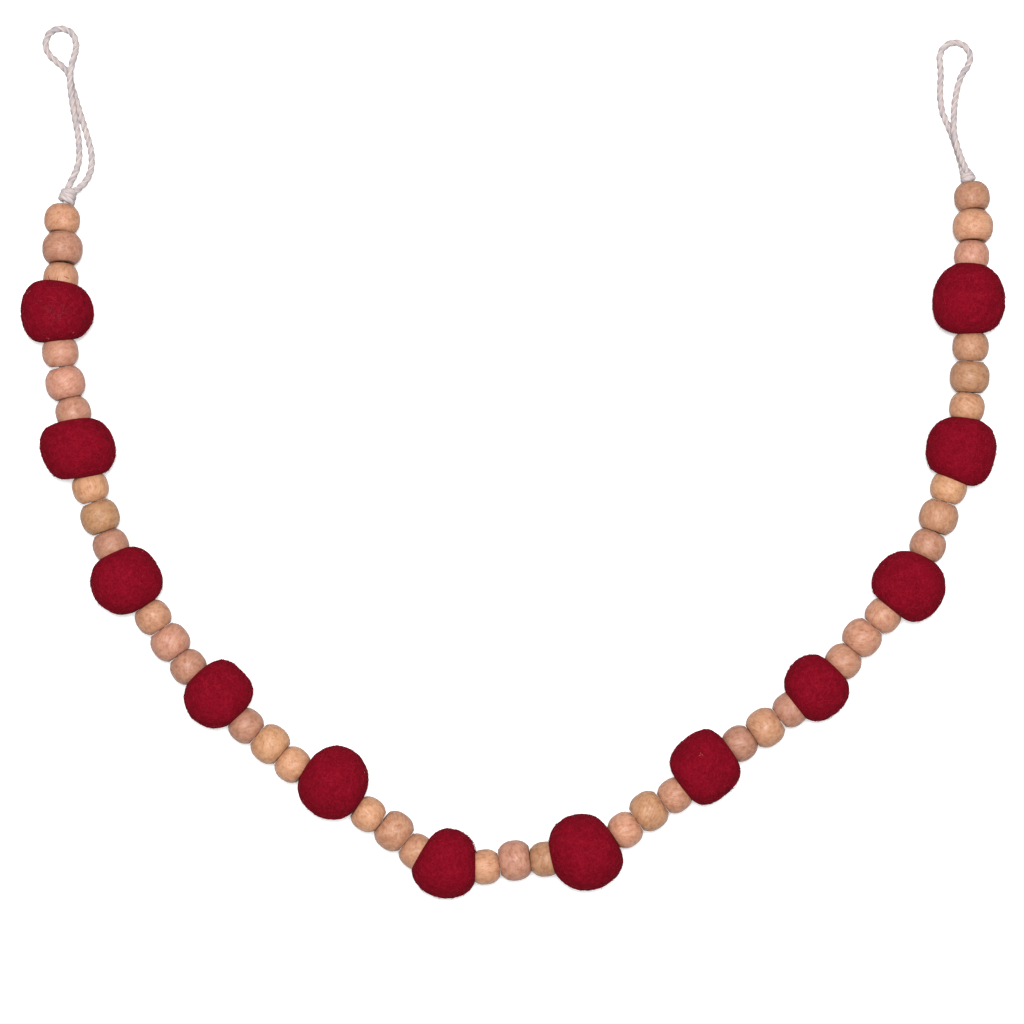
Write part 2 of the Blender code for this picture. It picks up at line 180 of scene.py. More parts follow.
class Route:
    # a smooth line through points, read by the distance along it

    def __init__(self, points, steps=24):
        self.steps = steps
        self.points = []
        last = len(points) - 1
        for i in range(last):
            start, end = points[i], points[i + 1]
            before = points[i - 1] if i else start * 2 - end
            after = points[i + 2] if i + 2 <= last else end * 2 - start
            for step in range(steps):
                t = step / steps
                self.points.append(0.5 * (
                    2 * start + (end - before) * t
                    + (2 * before - 5 * start + 4 * end - after) * t ** 2
                    + (3 * start - before - 3 * end + after) * t ** 3))
        self.points.append(points[last])
        self.marks = [0.0]
        for a, b in zip(self.points, self.points[1:]):
            self.marks.append(self.marks[-1] + (b - a).length)
        self.length = self.marks[-1]

    def markOf(self, row):
        return self.marks[row * self.steps]

    def at(self, distance):
        low, high = 0, len(self.marks) - 1
        while high - low > 1:
            middle = (low + high) // 2
            if self.marks[middle] <= distance:
                low = middle
            else:
                high = middle
        share = (distance - self.marks[low]) / (self.marks[high] - self.marks[low])
        return self.points[low].lerp(self.points[high], share)

    def tangent(self, distance, reach=1.0):
        start = max(distance - reach, 0.0)
        end = min(distance + reach, self.length)
        return (self.at(end) - self.at(start)).normalized()

    def frame(self, distance):
        # place, forward, outward, upward
        forward = self.tangent(distance)
        outward = forward.cross(Vector((0, 0, 1))).normalized()
        return self.at(distance), forward, outward, outward.cross(forward).normalized()

    def carriedFrames(self, distances):
        # place, forward and two sides that turn with the line and don't roll
        frames = []
        side = self.tangent(0.0).cross(Vector((0, 0, 1))).normalized()
        for distance in distances:
            forward = self.tangent(distance)
            side = (side - forward * side.dot(forward)).normalized()
            frames.append((self.at(distance), forward, side, side.cross(forward)))
        return frames


def ballHeight(ball):
    return layout["ballHeightShare"] * (ball["outSide"][2] + ball["inSide"][2]) / 2


def smoothLine():
    heights = [ballHeight(ball) for ball in balls]
    points = [Vector((*layout["leftEnd"], layout["endHeight"]))]
    for i, group in enumerate(groups):
        if 0 < i < len(balls):
            height = (heights[i - 1] + heights[i]) / 2 - layout["beadSag"]
        else:
            height = layout["endGroupHeight"]
        points.append(Vector((group["x"], group["y"], height)))
        if i < len(balls):
            points.append(Vector((balls[i]["x"], balls[i]["y"], heights[i])))
    points.append(Vector((*layout["rightEnd"], layout["endHeight"])))
    return Route(points)


def stringRoute():
    smooth = smoothLine()
    pitch = (sideBead["along"] + middleBead["along"]) / 2 + layout["pieceGap"]
    points = [smooth.at(0.0)]
    for i, group in enumerate(groups):
        middle = smooth.markOf(1 + 2 * i)
        for distance, shift in ((middle - pitch, group["firstOut"]), (middle, 0.0),
                                (middle + pitch, group["lastOut"])):
            centre, _, outward, _ = smooth.frame(distance)
            points.append(centre + outward * shift)
        if i < len(balls):
            points.append(smooth.at(smooth.markOf(2 + 2 * i)))
    points.append(smooth.at(smooth.length))
    return Route(points)


def facingGap(route, placeA, placeB, faceRadius):
    return layout["pieceGap"] + faceRadius * route.tangent(placeA).angle(route.tangent(placeB))


def sideBeadPlace(route, middle, sign):
    reach = (sideBead["along"] + middleBead["along"]) / 2
    faceRadius = middleBead["across"] / 2 * beadTurning["faceShare"] * (1 + beadTurning["variation"])
    return middle + sign * (reach + facingGap(route, middle, middle + sign * reach, faceRadius))


def beadEnd(route, place, sign):
    end = place + sign * sideBead["along"] / 2
    faceRadius = sideBead["across"] / 2 * beadTurning["faceShare"] + layout["feltClearance"]
    return end + sign * facingGap(route, place, end, faceRadius)


route = stringRoute()
beadPlaces = []
for i in range(len(groups)):
    middle = route.markOf(2 + 4 * i)
    beadPlaces.append((sideBeadPlace(route, middle, -1), middle, sideBeadPlace(route, middle, 1)))
leftBase = beadEnd(route, beadPlaces[0][0], -1)
rightBase = beadEnd(route, beadPlaces[-1][2], 1)


# camera: straight above the garland, as the photo was taken

print("camera")
cameraSetup = {"place": (-0.00034, 0.00982, 1.046), "lens": 85, "sensor": 36}
cameraData = bpy.data.cameras.new("cameraAbove")
cameraData.lens = cameraSetup["lens"]
cameraData.sensor_width = cameraSetup["sensor"]
cameraData.clip_start = 0.01
cameraData.clip_end = 20
camera = newPiece("cameraAbove", cameraData)
camera.location = cameraSetup["place"]
bpy.context.scene.camera = camera


# finishes

def addNode(tree, kind, x, y, **settings):
    node = tree.nodes.new(kind)
    node.location = (x, y)
    for name, value in settings.items():
        setattr(node, name, value)
    return node


def plug(tree, source, target):
    tree.links.new(source, target)


def startMaterial(name):
    material = bpy.data.materials.new(name)
    material.use_nodes = True
    return material, material.node_tree, material.node_tree.nodes["Principled BSDF"]


def startGroup(name, inputs, outputs):
    # inputs and outputs are rows of (name, kind, value or None)
    tree = bpy.data.node_groups.new(name, "ShaderNodeTree")
    for direction, rows in (("INPUT", inputs), ("OUTPUT", outputs)):
        for socketName, kind, value in rows:
            made = tree.interface.new_socket(socketName, in_out=direction, socket_type=kind)
            if value is not None:
                made.default_value = value
    return (tree, addNode(tree, "NodeGroupInput", -900, 0),
            addNode(tree, "NodeGroupOutput", 700, 0))


def mathNode(tree, operation, x, y, first, second, clamp=False):
    node = addNode(tree, "ShaderNodeMath", x, y, operation=operation, use_clamp=clamp)
    for index, value in enumerate((first, second)):
        if value is None:
            continue
        if isinstance(value, (int, float)):
            node.inputs[index].default_value = value
        else:
            plug(tree, value, node.inputs[index])
    return node.outputs[0]


def rangeNode(tree, x, y, value, low, high, newLow=0.0, newHigh=1.0):
    node = addNode(tree, "ShaderNodeMapRange", x, y, clamp=True, interpolation_type="SMOOTHSTEP")
    plug(tree, value, node.inputs["Value"])
    for name, number in (("From Min", low), ("From Max", high), ("To Min", newLow), ("To Max", newHigh)):
        node.inputs[name].default_value = number
    return node.outputs["Result"]


def mixColor(tree, x, y, factor, first, second, blend="MIX"):
    node = addNode(tree, "ShaderNodeMix", x, y, data_type="RGBA", blend_type=blend)
    for socket, value in ((node.inputs[0], factor), (node.inputs[6], first), (node.inputs[7], second)):
        if isinstance(value, (int, float, tuple)):
            socket.default_value = value
        else:
            plug(tree, value, socket)
    return node.outputs[2]


def makeFibreGroup():
    # curly fibre lines and the low relief that they make, at a scale in lines a millimetre
    tree, start, end = startGroup(
        "fibreLines",
        [("Vector", "NodeSocketVector", None), ("Scale", "NodeSocketFloat", 1.0),
         ("Curl", "NodeSocketFloat", 1.0)],
        [("Lines", "NodeSocketFloat", None), ("Patches", "NodeSocketFloat", None),
         ("Height", "NodeSocketFloat", None)])
    drift = addNode(tree, "ShaderNodeTexNoise", -700, 200)
    drift.inputs["Detail"].default_value = 2.0
    driftScale = mathNode(tree, "MULTIPLY", -860, 200, start.outputs["Scale"], 0.55)
    plug(tree, start.outputs["Vector"], drift.inputs["Vector"])
    plug(tree, driftScale, drift.inputs["Scale"])
    centred = addNode(tree, "ShaderNodeVectorMath", -520, 200, operation="SUBTRACT")
    centred.inputs[1].default_value = (0.5, 0.5, 0.5)
    plug(tree, drift.outputs["Color"], centred.inputs[0])
    strong = addNode(tree, "ShaderNodeVectorMath", -360, 200, operation="SCALE")
    plug(tree, centred.outputs[0], strong.inputs[0])
    plug(tree, start.outputs["Curl"], strong.inputs["Scale"])
    moved = addNode(tree, "ShaderNodeVectorMath", -200, 100, operation="ADD")
    plug(tree, start.outputs["Vector"], moved.inputs[0])
    plug(tree, strong.outputs[0], moved.inputs[1])
    lineSets = []
    for row, (share, shift) in enumerate(((1.0, 0.0), (1.7, 31.0))):
        offset = addNode(tree, "ShaderNodeVectorMath", -40, 250 - 260 * row, operation="ADD")
        offset.inputs[1].default_value = (shift, shift * 0.7, -shift)
        plug(tree, moved.outputs[0], offset.inputs[0])
        waves = addNode(tree, "ShaderNodeTexNoise", 120, 250 - 260 * row)
        waves.inputs["Detail"].default_value = 1.5
        plug(tree, offset.outputs[0], waves.inputs["Vector"])
        plug(tree, mathNode(tree, "MULTIPLY", -40, 60 - 260 * row, start.outputs["Scale"], share),
             waves.inputs["Scale"])
        away = mathNode(tree, "ABSOLUTE", 280, 250 - 260 * row,
                        mathNode(tree, "SUBTRACT", 220, 200 - 260 * row,
                                 waves.outputs["Fac"], 0.5), None)
        lineSets.append(rangeNode(tree, 420, 250 - 260 * row, away, 0.0, 0.032, 1.0, 0.0))
    lines = mathNode(tree, "MAXIMUM", 540, 100, lineSets[0], lineSets[1])
    plug(tree, lines, end.inputs["Lines"])
    plug(tree, drift.outputs["Fac"], end.inputs["Patches"])
    height = mathNode(tree, "ADD", 560, -120,
                      mathNode(tree, "MULTIPLY", 480, -100, lines, 0.6), drift.outputs["Fac"])
    plug(tree, height, end.inputs["Height"])
    return tree


def useFibres(tree, x, y, vector, scale, curl):
    node = addNode(tree, "ShaderNodeGroup", x, y, node_tree=fibreGroup)
    plug(tree, vector, node.inputs["Vector"])
    node.inputs["Scale"].default_value = scale
    node.inputs["Curl"].default_value = curl
    return node


def inMillimetres(tree, x, y):
    where = addNode(tree, "ShaderNodeTexCoord", x, y)
    mapping = addNode(tree, "ShaderNodeMapping", x + 180, y)
    mapping.inputs["Scale"].default_value = (1000, 1000, 1000)
    plug(tree, where.outputs["Object"], mapping.inputs["Vector"])
    return mapping.outputs[0]


feltLook = {
    "base": toLinear(110, 4, 22),
    "deep": toLinear(88, 2, 14),
    "wisp": toLinear(156, 26, 46),
    "speck": toLinear(34, 20, 14),
    "pale": toLinear(206, 116, 122),
    "lineScale": 0.30,
    "fineScale": 1.25,
    "roughness": 0.95,
}


def makeFelt():
    material, tree, shader = startMaterial("crimsonFelt")
    place = inMillimetres(tree, -1500, 200)
    coarse = useFibres(tree, -1050, 350, place, feltLook["lineScale"], 2.2)
    fine = useFibres(tree, -1050, 50, place, feltLook["fineScale"], 0.8)
    patch = rangeNode(tree, -800, 500, coarse.outputs["Patches"], 0.34, 0.66, 0.0, 0.5)
    color = mixColor(tree, -600, 450, patch, feltLook["base"], feltLook["deep"])
    lines = mathNode(tree, "MULTIPLY", -800, 300, coarse.outputs["Lines"], 0.32)
    color = mixColor(tree, -420, 400, lines, color, feltLook["wisp"])
    fineLines = mathNode(tree, "MULTIPLY", -800, 100, fine.outputs["Lines"], 0.4)
    color = mixColor(tree, -240, 350, fineLines, color, feltLook["wisp"])
    wisp = addNode(tree, "ShaderNodeAttribute", -800, -150, attribute_name="wisp")
    color = mixColor(tree, -60, 300, wisp.outputs["Fac"], color, feltLook["wisp"])
    speck = addNode(tree, "ShaderNodeAttribute", -800, -330, attribute_name="speck")
    color = mixColor(tree, 120, 250, speck.outputs["Fac"], color, feltLook["speck"])
    pale = addNode(tree, "ShaderNodeAttribute", -800, -500, attribute_name="pale")
    color = mixColor(tree, 120, 80, pale.outputs["Fac"], color, feltLook["pale"])
    plug(tree, color, shader.inputs["Base Color"])
    both = mathNode(tree, "ADD", -420, -60, coarse.outputs["Height"], fine.outputs["Height"])
    bump = addNode(tree, "ShaderNodeBump", -200, -100)
    bump.inputs["Strength"].default_value = 0.2
    bump.inputs["Distance"].default_value = 0.00025
    plug(tree, both, bump.inputs["Height"])
    plug(tree, bump.outputs[0], shader.inputs["Normal"])
    shader.inputs["Roughness"].default_value = feltLook["roughness"]
    shader.inputs["Specular IOR Level"].default_value = 0.05
    shader.inputs["Sheen Weight"].default_value = 0.05
    shader.inputs["Sheen Roughness"].default_value = 0.6
    shader.inputs["Sheen Tint"].default_value = toLinear(200, 40, 60)
    return material


# one wood colour, and how far each bead may differ from it
woodLook = {
    "color": (215, 160, 130),
    "lightness": (0.84, 1.16),
    "yellowness": (-0.1, 0.1),
    "lightShare": (0.75, 0.795, 0.82),  # the colour as seen, less the strength of the light
}


def makeWood():
    material, tree, shader = startMaterial("turnedWood")
    grain = addNode(tree, "ShaderNodeAttribute", -1700, 200, attribute_name="grain")
    tone = addNode(tree, "ShaderNodeAttribute", -1100, 700, attribute_name="tone")
    # rim carries the painted shade at the bead's ends and in its hole
    rim = addNode(tree, "ShaderNodeAttribute", -1100, -500, attribute_name="rim")
    stretch = addNode(tree, "ShaderNodeMapping", -1500, 300)
    stretch.inputs["Scale"].default_value = (1.0, 1.0, 0.13)
    plug(tree, grain.outputs["Vector"], stretch.inputs["Vector"])
    rings = addNode(tree, "ShaderNodeTexNoise", -1300, 400)
    rings.inputs["Scale"].default_value = 1.1
    rings.inputs["Detail"].default_value = 5.0
    rings.inputs["Roughness"].default_value = 0.65
    plug(tree, stretch.outputs[0], rings.inputs["Vector"])
    mottle = addNode(tree, "ShaderNodeTexNoise", -1300, 100)
    mottle.inputs["Scale"].default_value = 0.28
    mottle.inputs["Detail"].default_value = 3.0
    plug(tree, grain.outputs["Vector"], mottle.inputs["Vector"])
    pores = addNode(tree, "ShaderNodeTexNoise", -1300, -200)
    pores.inputs["Scale"].default_value = 2.6
    pores.inputs["Detail"].default_value = 1.0
    plug(tree, stretch.outputs[0], pores.inputs["Vector"])
    warm = rangeNode(tree, -1050, 200, mottle.outputs["Fac"], 0.38, 0.62)
    color = mixColor(tree, -850, 500, 0.45, tone.outputs["Color"],
                     mixColor(tree, -1050, 450, warm, toLinear(198, 186, 168), toLinear(178, 160, 152)),
                     "SOFT_LIGHT")
    dark = rangeNode(tree, -1050, 400, rings.outputs["Fac"], 0.42, 0.66, 0.0, 0.4)
    color = mixColor(tree, -650, 450, dark, color, toLinear(206, 170, 140), "MULTIPLY")
    blotch = addNode(tree, "ShaderNodeTexNoise", -1300, -450)
    blotch.inputs["Scale"].default_value = 0.42
    blotch.inputs["Detail"].default_value = 4.0
    blotch.inputs["Roughness"].default_value = 0.6
    plug(tree, grain.outputs["Vector"], blotch.inputs["Vector"])
    patch = rangeNode(tree, -1050, -420, blotch.outputs["Fac"], 0.42, 0.68, 0.0, 0.6)
    color = mixColor(tree, -560, 420, patch, color, toLinear(214, 197, 181), "MULTIPLY")
    pore = rangeNode(tree, -1050, -200, pores.outputs["Fac"], 0.62, 0.70, 0.0, 0.32)
    color = mixColor(tree, -450, 400, pore, color, toLinear(160, 112, 80), "MULTIPLY")
    # painted shade: the bead's ends and hole darkened towards brown
    endShadeShare = mathNode(tree, "MULTIPLY", -700, -450, rim.outputs["Fac"], 0.4)
    color = mixColor(tree, -250, 350, endShadeShare, color, toLinear(150, 110, 90), "MULTIPLY")
    plug(tree, color, shader.inputs["Base Color"])
    plug(tree, rangeNode(tree, -250, 0, rings.outputs["Fac"], 0.3, 0.7, 0.42, 0.6),
         shader.inputs["Roughness"])
    relief = mathNode(tree, "SUBTRACT", -450, -150, rings.outputs["Fac"], pore)
    bump = addNode(tree, "ShaderNodeBump", -250, -200)
    bump.inputs["Strength"].default_value = 0.25
    bump.inputs["Distance"].default_value = 0.00008
    plug(tree, relief, bump.inputs["Height"])
    plug(tree, bump.outputs[0], shader.inputs["Normal"])
    shader.inputs["Specular IOR Level"].default_value = 0.28
    return material


def makeCotton():
    material, tree, shader = startMaterial("cottonCord")
    lay = addNode(tree, "ShaderNodeAttribute", -1500, 200, attribute_name="lay")
    grooveShade = addNode(tree, "ShaderNodeAttribute", -900, -300, attribute_name="grooveShade")
    stretch = addNode(tree, "ShaderNodeMapping", -1300, 200)
    stretch.inputs["Scale"].default_value = (1.0, 1.0, 0.16)
    plug(tree, lay.outputs["Vector"], stretch.inputs["Vector"])
    fibres = useFibres(tree, -1050, 250, stretch.outputs[0], 1.3, 0.4)
    streak = addNode(tree, "ShaderNodeTexNoise", -1050, 0)
    streak.inputs["Scale"].default_value = 1.0
    streak.inputs["Detail"].default_value = 3.0
    plug(tree, stretch.outputs[0], streak.inputs["Vector"])
    share = rangeNode(tree, -800, 200, streak.outputs["Fac"], 0.36, 0.64)
    color = mixColor(tree, -600, 300, share, toLinear(208, 195, 190), toLinear(172, 162, 169))
    drift = addNode(tree, "ShaderNodeTexNoise", -1050, -250)
    drift.inputs["Scale"].default_value = 0.22
    plug(tree, lay.outputs["Vector"], drift.inputs["Vector"])
    pink = rangeNode(tree, -800, -100, drift.outputs["Fac"], 0.4, 0.62, 0.0, 0.5)
    color = mixColor(tree, -420, 280, pink, color, toLinear(204, 186, 178))
    lines = mathNode(tree, "MULTIPLY", -600, 60, fibres.outputs["Lines"], 0.3)
    color = mixColor(tree, -240, 260, lines, color, toLinear(224, 214, 208))
    # painted shade: the grooves between the plies darkened
    deep = mathNode(tree, "MULTIPLY", -600, -300, grooveShade.outputs["Fac"], 0.28)
    color = mixColor(tree, -60, 240, deep, color, toLinear(136, 124, 126))
    plug(tree, color, shader.inputs["Base Color"])
    bump = addNode(tree, "ShaderNodeBump", -240, -100)
    bump.inputs["Strength"].default_value = 0.5
    bump.inputs["Distance"].default_value = 0.00015
    plug(tree, fibres.outputs["Height"], bump.inputs["Height"])
    plug(tree, bump.outputs[0], shader.inputs["Normal"])
    shader.inputs["Roughness"].default_value = 0.9
    shader.inputs["Specular IOR Level"].default_value = 0.2
    shader.inputs["Sheen Weight"].default_value = 0.15
    return material


print("finishes: felt, wood, cotton")
fibreGroup = makeFibreGroup()
felt = makeFelt()
wood = makeWood()
cotton = makeCotton()


# cord: three plies laid together, swept along a line

cordLay = {"plyRadius": 0.70, "plyOut": 0.776, "floor": 1.18, "lay": 10.5, "sides": 30,
           "ringStep": 0.55, "evenRadius": 1.38}


def plyOutline(angle):
    away = (angle + math.pi / 3) % (2 * math.pi / 3) - math.pi / 3
    out = cordLay["plyOut"]
    side = out * math.sin(away)
    return max(out * math.cos(away) + math.sqrt(cordLay["plyRadius"] ** 2 - side ** 2),
               cordLay["floor"])


def laidCord(name, line, start, end, ringStep, sides, soft=0.0):
    count = round((end - start) / ringStep)
    distances = [start + (end - start) * i / count for i in range(count + 1)]
    points, lay, grooveShade, faces = [], [], [], []
    ridge = cordLay["plyOut"] + cordLay["plyRadius"]
    for distance, (centre, forward, side, rise) in zip(distances, line.carriedFrames(distances)):
        turn = -2 * math.pi * distance / cordLay["lay"]
        for j in range(sides):
            angle = turn + 2 * math.pi * j / sides
            radius = plyOutline(2 * math.pi * j / sides)
            radius += (cordLay["evenRadius"] - radius) * soft
            points.append((centre + side * (radius * math.cos(angle))
                           + rise * (radius * math.sin(angle))) * mm)
            lay.append((radius * math.cos(2 * math.pi * j / sides),
                        radius * math.sin(2 * math.pi * j / sides), distance))
            # how deep each point lies between the plies; the finish darkens it as painted shade in the
            # grooves
            grooveShade.append((ridge - radius) / (ridge - cordLay["floor"]))
    for i in range(count):
        low, high = i * sides, (i + 1) * sides
        for j in range(sides):
            k = (j + 1) % sides
            faces.append((low + j, high + j, high + k, low + k))
    # each end is rounded off to a middle point
    frames = line.carriedFrames([start, end])
    for row, (centre, forward, _, _), sign in ((0, frames[0], -1), (count, frames[1], 1)):
        points.append((centre + forward * (sign * 0.6)) * mm)
        lay.append((0, 0, distances[0 if sign < 0 else -1]))
        grooveShade.append(0.3)
        tip = len(points) - 1
        for j in range(sides):
            a, b = row * sides + j, row * sides + (j + 1) % sides
            faces.append((a, b, tip) if sign < 0 else (b, a, tip))
    mesh = bpy.data.meshes.new(name)
    mesh.from_pydata(points, [], faces)
    mesh.shade_smooth()
    setPointValues(mesh, "lay", "FLOAT_VECTOR", lay)
    setPointValues(mesh, "grooveShade", "FLOAT", grooveShade)
    return newPiece(name, mesh)


def fibreMesh(name, strands, kinds, values):
    # each strand is a row of points and a thickness: a thin closed tube that tapers to its tips
    points, faces, marks = [], [], []
    for strand, value in zip(strands, values):
        first = len(points)
        line, width = strand
        points.append(line[0])
        for i in range(1, len(line) - 1):
            forward = (line[i + 1] - line[i - 1]).normalized()
            side = forward.orthogonal().normalized()
            rise = forward.cross(side)
            radius = width * (0.55 + 0.45 * math.sin(math.pi * i / (len(line) - 1)))
            for j in range(3):
                angle = 2 * math.pi * j / 3
                points.append(line[i] + side * (radius * math.cos(angle))
                              + rise * (radius * math.sin(angle)))
        points.append(line[-1])
        rings = len(line) - 2
        last = len(points) - 1
        for j in range(3):
            k = (j + 1) % 3
            faces.append((first, first + 1 + k, first + 1 + j))
            for i in range(rings - 1):
                low, high = first + 1 + 3 * i, first + 4 + 3 * i
                faces.append((low + j, low + k, high + k, high + j))
            end = first + 1 + 3 * (rings - 1)
            faces.append((end + j, end + k, last))
        marks.extend([value] * (len(points) - first))
    mesh = bpy.data.meshes.new(name)
    mesh.from_pydata([point * mm for point in points], [], faces)
    mesh.shade_smooth()
    for attribute, field in kinds:
        setPointValues(mesh, attribute, field, [mark[attribute] for mark in marks])
    return newPiece(name, mesh)


def surfaceOf(piece):
    # the piece's surface in millimetres
    mesh = piece.data
    places = [vertex.co / mm for vertex in mesh.vertices]
    return BVHTree.FromPolygons(places, [tuple(face.vertices) for face in mesh.polygons])


def walkFibre(surface, point, normal, dice, style):
    # a curly line that follows the surface; its far end may lift off it
    heading = normal.orthogonal().normalized()
    heading.rotate(Matrix.Rotation(dice.uniform(0, 2 * math.pi), 3, normal))
    curl = dice.uniform(-style["curl"], style["curl"])
    step = dice.uniform(*style["length"]) / (style["steps"] - 1)
    lift = dice.uniform(*style["lift"])
    line = [point + normal * style["sink"]]
    for i in range(1, style["steps"]):
        nearest = surface.find_nearest(point + heading * step)
        if nearest[0] is None:
            break
        moved, normal = nearest[0], nearest[1]
        heading = moved - point
        heading = (heading - normal * heading.dot(normal)).normalized()
        heading.rotate(Matrix.Rotation(curl * step + dice.uniform(-0.25, 0.25), 3, normal))
        point = moved
        share = i / (style["steps"] - 1)
        line.append(point + normal * (style["sink"] + style["rise"] * math.sin(math.pi * share)
                                      + lift * share ** 2))
    return line


# hanging loops: one cord each, from the knot up one strand and down the other

leftLoopLine = [
    (-191.1, 147.4, 6.8),
    (-190.9, 150.2, 6.3), (-189.2, 154.2, 4.9), (-187.8, 158.6, 3.2), (-187.2, 163.5, 2.0),
    (-187.4, 168.5, 1.7), (-188.0, 174.3, 2.2), (-188.9, 180.4, 3.5), (-189.7, 186.0, 4.5),
    (-190.3, 191.4, 5.1), (-190.6, 197.7, 5.1), (-189.9, 203.2, 4.4), (-188.9, 207.6, 3.0),
    (-188.6, 212.1, 1.9), (-190.5, 216.7, 1.55), (-195.2, 218.7, 1.55), (-199.9, 216.8, 1.55),
    (-201.8, 212.2, 1.55), (-200.4, 207.7, 1.55), (-197.0, 204.3, 1.55), (-193.6, 201.4, 1.55),
    (-191.4, 197.9, 1.55), (-190.3, 193.4, 1.55), (-188.2, 186.4, 1.55), (-186.0, 179.2, 1.55),
    (-183.9, 172.4, 1.55), (-182.3, 166.2, 1.6), (-181.8, 161.2, 2.1), (-182.3, 156.4, 3.2),
    (-184.0, 152.3, 4.6), (-186.7, 149.2, 5.8),
    (-189.0, 147.4, 6.6),
]
rightLoopLine = [
    (193.9, 154.8, 6.2),
    (193.6, 157.6, 4.7), (193.2, 160.6, 3.2), (192.3, 164.4, 2.0), (191.0, 168.8, 1.6),
    (189.3, 173.6, 1.55), (187.4, 178.1, 1.55), (185.7, 182.3, 1.55), (184.8, 187.0, 1.55),
    (184.6, 192.4, 1.55), (184.9, 197.8, 1.55), (184.7, 202.0, 1.55), (184.4, 206.0, 1.55),
    (185.7, 209.9, 1.55), (189.0, 212.3, 1.55), (193.0, 212.3, 1.55), (196.3, 209.9, 1.55),
    (197.6, 206.0, 1.55), (196.3, 202.1, 1.55), (193.9, 198.4, 1.55), (192.0, 192.6, 1.55),
    (190.9, 186.5, 1.6), (190.4, 181.2, 2.8), (190.0, 176.5, 4.2), (190.2, 172.0, 4.8),
    (191.2, 167.8, 5.1), (192.3, 164.0, 5.5), (193.2, 160.9, 6.6), (194.2, 157.8, 8.0),
    (195.0, 155.2, 8.6),
]
hairs = {"perMillimetre": 1.1, "steps": 5, "length": (0.8, 2.2), "curl": 0.9, "sink": -0.02,
         "rise": 0.05, "lift": (0.05, 0.8), "width": 0.022}


def addHairs(cord, line, amount, seed):
    dice = random.Random(seed)
    surface = surfaceOf(cord)
    strands = []
    for _ in range(amount):
        centre, _, side, rise = line.carriedFrames([dice.uniform(2, line.length - 2)])[0]
        around = dice.uniform(0, 2 * math.pi)
        out = side * math.cos(around) + rise * math.sin(around)
        point, normal, _, _ = surface.find_nearest(centre + out * 3)
        hair = walkFibre(surface, point, normal, dice, hairs)
        strands.append(([p if p.z > 0.05 else Vector((p.x, p.y, 0.05)) for p in hair], hairs["width"]))
    marks = [{"lay": (0.0, 0.0, i * 0.7), "grooveShade": 0.1} for i in range(len(strands))]
    fuzz = fibreMesh("cordHairs", strands, (("lay", "FLOAT_VECTOR"), ("grooveShade", "FLOAT")), marks)
    selectOnly(cord)
    fuzz.select_set(True)
    bpy.ops.object.join()


def makeLoop(name, points, node, seed):
    line = Route([Vector(point) for point in points])
    loop = laidCord(name, line, 0.0, line.length, cordLay["ringStep"], cordLay["sides"])
    addHairs(loop, line, round(line.length * hairs["perMillimetre"]), seed)
    dress(loop, cotton, [node])
    print(f"  {name}: {line.length:.1f} mm of cord")


print("hanging loops")
makeLoop("loopCordLeft", leftLoopLine, "hanging_loop_left", 11)
makeLoop("loopCordRight", rightLoopLine, "hanging_loop_right", 12)

print("stringing cord")
stringCord = laidCord("stringCord", route, leftBase - 1.5, rightBase + 1.5, 1.2, 18)
dress(stringCord, cotton, ["stringing_cord"])


# knots: the cord wound round itself between the last bead and the loop

knots = {
    "left": dict(node="knot_left", base=leftBase, sign=-1, top=(-190.9, 147.8, 5.8), turns=3.0,
                 coil=(2.5, 2.1), start=1.4, rise=5.6, tilt=(-0.05, 0.5), tiltTowards=-0.4,
                 turnStart=-1.5),
    "right": dict(node="knot_right", base=rightBase, sign=1, top=(194.6, 156.2, 5.9), turns=2.5,
                  coil=(2.35, 0.9), start=1.5, rise=4.6, tilt=(0.0, 0.35), tiltTowards=0.6,
                  turnStart=0.6),
}


def knotLine(knot):
    base = route.at(knot["base"])
    axis = (Vector(knot["top"]) - base).normalized()
    side = axis.cross(Vector((0, 0, 1))).normalized()
    rise = side.cross(axis)
    steps = round(knot["turns"] * 14)
    points = []
    for i in range(steps + 1):
        share = i / steps
        angle = knot["turnStart"] + 2 * math.pi * knot["turns"] * share
        radius = knot["coil"][0] + (knot["coil"][1] - knot["coil"][0]) * share
        tilt = knot["tilt"][0] + (knot["tilt"][1] - knot["tilt"][0]) * share
        along = (knot["start"] + knot["rise"] * share
                 + tilt * radius * math.cos(angle - knot["tiltTowards"]))
        points.append(base + axis * along + side * (radius * math.cos(angle))
                      + rise * (radius * math.sin(angle)))
    return points, base, axis


def makeKnot(name, knot):
    points, base, axis = knotLine(knot)
    wraps = Route(points, 6)
    coil = laidCord(name, wraps, 0.0, wraps.length, 0.5, 24, soft=0.55)
    reach = (Vector(knot["top"]) - base).length
    core = Route([base + axis * 0.5, base + axis * (reach * 0.5), base + axis * (reach + 0.6)], 8)
    middle = laidCord(name + "Core", core, 0.0, core.length, 0.6, 24)
    selectOnly(coil)
    middle.select_set(True)
    bpy.ops.object.join()
    dress(coil, cotton, [knot["node"]])


print("knots")
makeKnot("knotWrapsLeft", knots["left"])
makeKnot("knotWrapsRight", knots["right"])


# wood beads: turned once in two sizes, then copied along the cord

def profileRadius(kind, along):
    half, belly = kind["along"] / 2, kind["across"] / 2
    share = min(abs(along) / half, 1.0) ** beadTurning["fullness"]
    return belly * math.sqrt(1 - share * (1 - beadTurning["faceShare"] ** 2))


